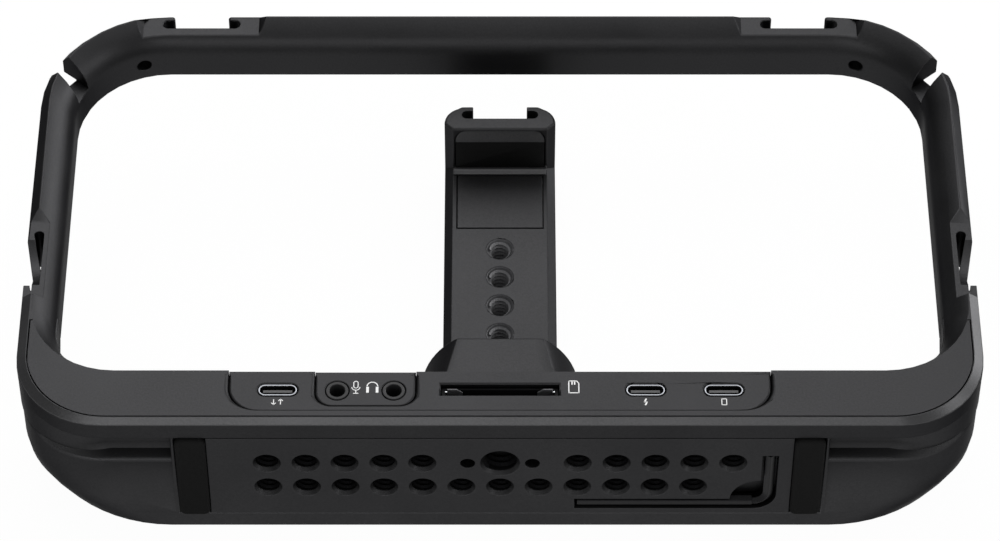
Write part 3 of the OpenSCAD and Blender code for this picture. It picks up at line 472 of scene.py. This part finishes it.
# Data: an arrow each way
for side in (-1, 1):
    dab(data_x + side * 0.8, port_sign_b, stroke, 1.5)
    for barb in (-1, 1):
        dab(data_x + side * 0.8 + barb * 0.25, port_sign_b + side * 0.55, stroke, 0.75, barb * side * 45)
# Power: a bolt of two slanted strokes and a bar
for side in (-1, 1):
    dab(power_x + side * 0.1, port_sign_b - side * 0.45, 0.34, 1.1, -25)
dab(power_x, port_sign_b, 0.9, 0.28)
# Telephone: an upright frame
for side in (-1, 1):
    dab(phone_x + side * 0.55, port_sign_b, thin_stroke, 1.9)
    dab(phone_x, port_sign_b + side * 0.87, 1.1, thin_stroke)
printed(panel_top)
bmesh.ops.scale(marks, vec=(mm, mm, mm), verts=marks.verts)
bmesh.ops.translate(marks, vec=(0, near, 0), verts=marks.verts)
bmesh.ops.recalc_face_normals(marks, faces=marks.faces)
# Pigmented epoxy: an even off-white with a faint gloss
ink_white = finish("white_epoxy_ink", "#d2d2d2", "#e0e0e0",
                   grain_mm=0.2, bump_mm=0.001, rough=0.55, metallic=0.0, gleam=0.3)
shown(marks, "printed_marks", ink_white, "cage", slots["port_panel"])


# Base plate: blasted aluminium with two rows of threads, a hex key and a rubber pad at each end.
# Each thread has a turned lead-in; the pads hide the screws, and a magnet holds the key.
# Blasted and dyed as the hub is, and painted nearly as pale: painted light on its face that turns to the near
# side
plate_painted_paler = anodised("black_anodised_plate_painted_paler", "#313132", "#39393a")
# Moulded rubber scatters the little light that it gives back: a flat, deep black
pad_rubber = finish("matt_black_rubber", "#121212", "#171717",
                    grain_mm=0.5, bump_mm=0.02, rough=0.8, metallic=0.0, gleam=0.04)
# Hot oxide on tool steel: black, with a tight shine along the flats
key_black = finish("black_oxide_steel", "#1a1a1b", "#232324",
                   grain_mm=0.3, bump_mm=0.003, rough=0.35, metallic=1.0)
eased("base_plate", plate_painted_paler, 0.12)
eased("left_grip_pad", pad_rubber, 0.5, segments=3)
eased("right_grip_pad", pad_rubber, 0.5, segments=3)
eased("hex_key", key_black, 0.12)
coated(nickel, "key_magnet")


# Threads of the base plate: tapped ridges in 22 quarter-inch holes and one three-eighths hole.
# Cut into the same metal, one ridge to each turn of the tap.
# Anodised with the plate after tapping, so no bare metal shows in them.
quarter_mm, quarter_pitch_mm = 2.6, 1.27
eighths_mm, eighths_pitch_mm = 3.95, 1.5875
quarter_foot_b, quarter_deep_mm = 4.9, 3.5
eighths_foot_b, eighths_deep_mm = 4.7, 3.2
hole_step, last_hole, bare_middle = 9, 54, 18
upper_z, lower_z = 23.8, 14.8
thread_steps = 24


def tapped(shape, foot, out, radius_mm, pitch_mm, depth_mm):
    """A thread's ridge, wound round a hole from its foot to depth_mm further out."""
    root_mm, crest_mm, half_mm = radius_mm + 0.02, radius_mm - 0.36 * pitch_mm, 0.42 * pitch_mm
    aside = out.orthogonal().normalized()
    ridge = [shape.verts.new(foot + (aside * r + out * h) * mm)
             for r, h in ((root_mm, -half_mm), (root_mm, half_mm), (crest_mm, 0))]
    blade = shape.faces.new(ridge)
    turns = int(thread_steps * depth_mm / pitch_mm)
    bmesh.ops.spin(shape, geom=ridge + list(blade.edges) + [blade], cent=foot, axis=out,
                   dvec=out * pitch_mm / thread_steps * mm, angle=math.tau * turns / thread_steps,
                   steps=turns)


# Dyed with the plate, but painted nearly black as painted shade deep in the holes, with fine glints
thread_painted_shade = finish("anodised_thread_painted_shade", "#0e0e0f", "#141415",
                      grain_mm=0.3, bump_mm=0.002, rough=0.5, metallic=1.0)
plate_threads = bmesh.new()
outward = Vector((0, -1, 0))
upper_row = [x for x in range(-last_hole, last_hole + 1, hole_step) if abs(x) >= bare_middle]
lower_row = range(-last_hole, last_hole, hole_step)
for row, z in ((upper_row, upper_z), (lower_row, lower_z)):
    for x in row:
        foot = at(x, quarter_foot_b, z)
        tapped(plate_threads, foot, outward, quarter_mm, quarter_pitch_mm, quarter_deep_mm)
tapped(plate_threads, at(0, eighths_foot_b, upper_z), outward, eighths_mm, eighths_pitch_mm, eighths_deep_mm)
bmesh.ops.recalc_face_normals(plate_threads, faces=plate_threads.faces)
shown(plate_threads, "plate_threads", thread_painted_shade, "cage", slots["base_plate"])


# Clamp: a bowed jaw bolted to the hub, and an arm with a hook that slides under it.
# Both are blasted and anodised, and a screw from below locks the arm to the jaw.
# The linings are black rubber, glued into shallow pockets; the one in the arm's face has the arm's own sheen.
hook_brow = 23.9
jaw_bend_x, jaw_bend_b, jaw_bend_across, jaw_bend_back = 9.2, 33.2, 0.97, 0.23


def arm_edge(x, b, z):
    """Sharp in the lock screw's slot and the shoe's mouth, rounder on the hook's top and its ledge."""
    lock_slot = within(x, b, z, across=(-beyond, 4.2), back=(-beyond, 46))
    shoe_mouth = within(x, b, z, across=(-beyond, 9.8), back=(107.3, beyond), up=(hook_brow, beyond))
    ledge = within(x, b, z, back=(101, 103.9), up=(9.7, 11))
    if lock_slot or shoe_mouth:
        return 0
    if z > hook_brow:
        return 0.6
    if ledge:
        return 0.45


def lead_in_and_highlight(x, b, z, normal):
    """1 for the lead-ins of the threads, 2 for the slope at the foot of the hook, which takes a painted
    highlight, 0 for the blasted rest.
    """
    lead_in = within(x, b, z, across=(-beyond, 3.4), back=(47, 81), up=(8.4, beyond)) and abs(normal.z) < 0.95
    foot_highlight = within(x, b, z, back=(99, 104), up=(9.9, 13)) and 0.3 < normal.z < 0.98
    return 2 if foot_highlight else int(lead_in)


def bowed(name):
    """The jaw, its twisted flanks freed of hollow creases so that each shades as one sweep."""
    shape = welded(name)
    bmesh.ops.dissolve_edges(shape, edges=[
        e for e in shape.edges if e.calc_face_angle_signed(0) < 0
        and within(*placed(halfway(e)), across=(9.9, beyond), up=(11.1, beyond))])
    for side in (-1, 1):
        scored(shape, at(side * jaw_bend_x, jaw_bend_b, 0), (side * jaw_bend_across, jaw_bend_back, 0))
    return shape


# Countersinks that are turned after anodising: bare metal, dulled to a middle grey
lead_metal = finish("countersunk_aluminium", "#4a4a4c", "#545456",
                    grain_mm=0.3, bump_mm=0.002, rough=0.5, metallic=0.4, gleam=0.3)
# Blasted and dyed with the ring, and as dark
arm_black = anodised("black_anodised_arm", "#2d2d2e", "#353536")
# Soft rubber in a pocket: the deepest black on the object
lining_black = finish("black_rubber_lining", "#0a0a0a", "#0e0e0e",
                      grain_mm=0.5, bump_mm=0.02, rough=0.8, metallic=0.0, gleam=0.1)
eased("lower_jaw", arm_black, 0.4, fold=50, segments=3, shape=bowed("lower_jaw"), even=False)
eased("clamp_arm", arm_black, 0.25, arm_edge, segments=3, cut=[lead_metal, painted_highlight_grey], bright=lead_in_and_highlight)
eased("arm_face_pad", arm_black, 0.12)
eased("lower_jaw_pad", lining_black, 0.3)
eased("clamp_lock_screw", screw_black, 0.15)


# Hook lining: a rubber strip, glued into the face of the hook that holds a phone.
# Above it a slope leads the phone in, and takes the same painted highlight as the ring's near chamfer.
slope_mm, slope_back_mm, face_mm = 3.2, 1.0, 0.1
hook_low, hook_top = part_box("hook_pad")
fold_z = hook_top.z - slope_mm * mm
lining = scored(welded("hook_pad"), (0, 0, fold_z), (0, 0, 1))
for vert in lining.verts:
    if vert.co.z > fold_z and vert.co.y < hook_low.y + face_mm * mm:
        vert.co.y += slope_back_mm * mm * (vert.co.z - fold_z) / (slope_mm * mm)
# Faces on the slope take the painted highlight; the rest stays black rubber.
for face in lining.faces:
    face.material_index = 1 if face.calc_center_median().z > fold_z else 0
hook_lining = shown(lining, "hook_pad_finish", lining_black, "clamp", slots["hook_pad"], "hook_pad")
hook_lining.data.materials.append(painted_highlight_grey)


# Threads of the arm: four quarter-inch holes down its middle, tapped from above.
# They are cut after the arm is anodised, so bare metal shows in them.
arm_hole_b, arm_hole_z, arm_deep_mm, arm_holes = 50.5, 0.9, 8.1, 4
# Fresh-cut ridges catch light from every side: the palest metal on the arm
thread_metal = finish("tapped_aluminium", "#5e5e60", "#6a6a6c",
                      grain_mm=0.3, bump_mm=0.002, rough=0.5, metallic=0.2, gleam=0.3)
arm_threads = bmesh.new()
for hole in range(arm_holes):
    tapped(arm_threads, at(0, arm_hole_b + hole_step * hole, arm_hole_z), Vector((0, 0, 1)),
           quarter_mm, quarter_pitch_mm, arm_deep_mm)
bmesh.ops.recalc_face_normals(arm_threads, faces=arm_threads.faces)
shown(arm_threads, "arm_threads", thread_metal, "clamp", slots["clamp_arm"])


# Stage: a pale floor and soft light from the right, above and behind.
# The floor is white to the eye and in reflections, and still takes a faint shadow.
# Seen from below it is clear, so that the underside can be looked at.
floor_half, floor_drop_mm, white_share = 4, 0.2, 0.97
floor_mesh = bpy.data.meshes.new("floor")
paper_sheet = bmesh.new()
bmesh.ops.create_grid(paper_sheet, x_segments=1, y_segments=1, size=floor_half)
paper_sheet.to_mesh(floor_mesh)
paper_sheet.free()
floor = bpy.data.objects.new("floor", floor_mesh)
floor.location.z = -floor_drop_mm * mm
bpy.context.scene.collection.objects.link(floor)
paper = bpy.data.materials.new("white_paper")
paper.use_nodes = True
tree = paper.node_tree
tree.nodes.clear()
ray = wire(tree, "LightPath").outputs
seen = wire(tree, "Math", links={0: ray["Is Camera Ray"], 1: ray["Is Glossy Ray"]}, operation="MAXIMUM")
seen = wire(tree, "Math", links={0: seen.outputs[0], 1: ray["Is Transmission Ray"]}, operation="MAXIMUM")
share = wire(tree, "Math", {1: white_share}, {0: seen.outputs[0]}, operation="MULTIPLY")
flat = wire(tree, "BsdfDiffuse", {"Color": linear("#e6e6e6")})
glow = wire(tree, "Emission", {"Color": linear("#ffffff"), "Strength": 1.0})
both = wire(tree, "MixShader",
            links={"Fac": share.outputs[0], 1: flat.outputs["BSDF"], 2: glow.outputs["Emission"]})
below = wire(tree, "NewGeometry").outputs["Backfacing"]
clear = wire(tree, "BsdfTransparent")
sheet = wire(tree, "MixShader", links={"Fac": below, 1: both.outputs["Shader"], 2: clear.outputs["BSDF"]})
wire(tree, "OutputMaterial", links={"Surface": sheet.outputs["Shader"]})
floor_mesh.materials.append(paper)

# The room is brighter on the right, so that the left-hand slopes fall into shade
room = bpy.data.worlds.new("studio")
bpy.context.scene.world = room
room.use_nodes = True
tree = room.node_tree
tree.nodes.clear()
aim = wire(tree, "TexCoord").outputs["Generated"]
rightward = wire(tree, "SeparateXYZ", links={"Vector": aim}).outputs["X"]
level = wire(tree, "MapRange", {"From Min": -0.7, "From Max": 0.7, "To Min": 0.3, "To Max": 0.7},
             {"Value": rightward})
wall = wire(tree, "Background", {"Color": linear("#ffffff")}, {"Strength": level.outputs["Result"]})
wire(tree, "OutputWorld", links={"Surface": wall.outputs["Background"]})

# Softboxes: place, width and height in metres, and power in watts, each turned to the object's middle
lamp_aim = Vector((0, 0, 0.02))
for name, spot, wide, tall, power in (("right_softbox", (0.95, 0.8, 0.32), 1.0, 0.6, 11.0),
                                      ("side_softbox", (1.2, -0.3, 0.62), 0.5, 0.5, 2.4),
                                      ("far_softbox", (-0.15, 0.77, 0.92), 1.0, 0.7, 8.0),
                                      ("top_softbox", (0, 0.1, 1.4), 1.2, 1.2, 5.0),
                                      ("near_strip", (-0.35, -1.2, 0.5), 1.2, 0.3, 4.0)):
    lamp = bpy.data.lights.new(name, "AREA")
    lamp.shape = "RECTANGLE"
    lamp.size = wide
    lamp.size_y = tall
    lamp.energy = power
    box = bpy.data.objects.new(name, lamp)
    box.location = spot
    box.rotation_euler = (lamp_aim - Vector(spot)).to_track_quat("-Z", "Y").to_euler()
    bpy.context.scene.collection.objects.link(box)

# Camera: a long lens about a metre away and 50 degrees above the floor, as in the photograph
lens = bpy.data.cameras.new("camera")
lens.lens = 151.2
lens.sensor_width = 36
lens.clip_end = 20
camera = bpy.data.objects.new("camera", lens)
camera.location = (0, -0.65795, 0.7952)
camera.rotation_euler = (math.radians(40.2), 0, 0)
bpy.context.scene.collection.objects.link(camera)
bpy.context.scene.camera = camera
bpy.context.scene.view_settings.view_transform = "Standard"
